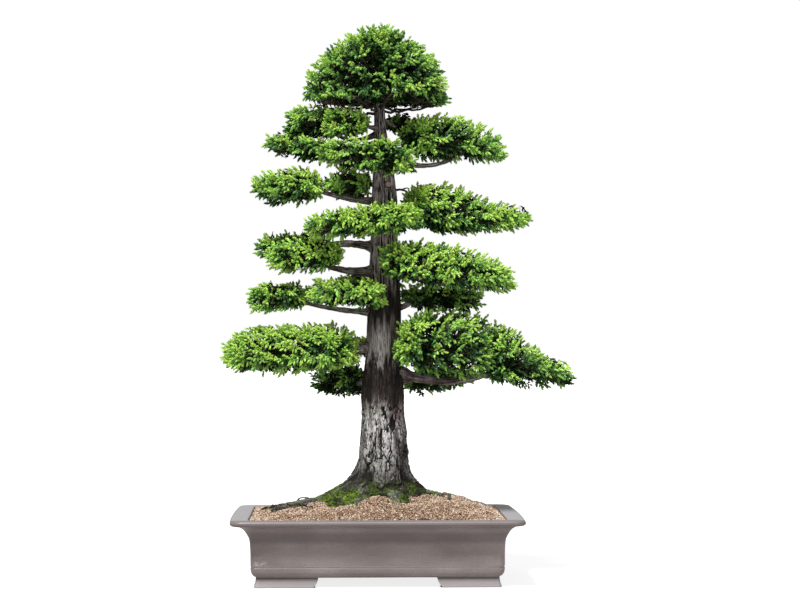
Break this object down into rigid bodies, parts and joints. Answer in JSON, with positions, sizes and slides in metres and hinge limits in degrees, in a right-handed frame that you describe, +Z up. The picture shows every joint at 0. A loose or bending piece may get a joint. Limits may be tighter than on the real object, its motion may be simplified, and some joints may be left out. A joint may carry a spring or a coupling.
{
  "type": "potted bonsai tree",
  "caption": "Upright bonsai conifer with a tapering bare trunk, tiers of clipped green foliage and a domed top, in a wide shallow rectangular footed glazed pot",
  "frame": {"origin": "Point on the ground under the centre of the whole plant's bounding box, level with the underside of the pot's feet.", "axes": "+X to the plant's right as seen from its front, +Y from the front to the back, +Z up along the trunk"},
  "size_m": [0.7602, 0.4883, 1.1774],
  "materials": {
    "pot": "satin",
    "soil": "matte",
    "bark": "matte",
    "foliage": "matte"
  },
  "bodies": {
    "root": {"pot": "pot", "soil": "soil", "trunk": "bark", "high_left_rear_bough": "bark", "high_left_front_bough": "bark", "high_left_low_bough": "bark", "high_front_bough": "bark", "high_right_bough": "bark", "high_right_rear_bough": "bark", "upper_left_outer_bough": "bark", "upper_left_inner_bough": "bark", "upper_front_bough": "bark", "upper_right_bough": "bark", "mid_left_rear_bough": "bark", "mid_left_front_bough": "bark", "mid_right_rear_bough": "bark", "mid_left_outer_bough": "bark", "low_left_bough": "bark", "low_left_rear_bough": "bark", "low_right_outer_bough": "bark", "low_right_rear_bough": "bark", "back_high_bough": "bark", "back_upper_bough": "bark", "back_mid_bough": "bark", "back_low_bough": "bark", "apex_dome": "foliage", "high_left_rear": "foliage", "high_left_front": "foliage", "high_left_low": "foliage", "high_front": "foliage", "high_right": "foliage", "high_right_rear": "foliage", "upper_left_outer": "foliage", "upper_left_inner": "foliage", "upper_front": "foliage", "upper_right": "foliage", "mid_left_rear": "foliage", "mid_left_front": "foliage", "mid_right": "foliage", "mid_right_rear": "foliage", "mid_left_low": "foliage", "mid_left_outer": "foliage", "low_left": "foliage", "low_left_rear": "foliage", "low_right_inner": "foliage", "low_right_outer": "foliage", "low_right_rear": "foliage", "back_high": "foliage", "back_upper": "foliage", "back_mid": "foliage", "back_low": "foliage"}
  },
  "joints": []
}
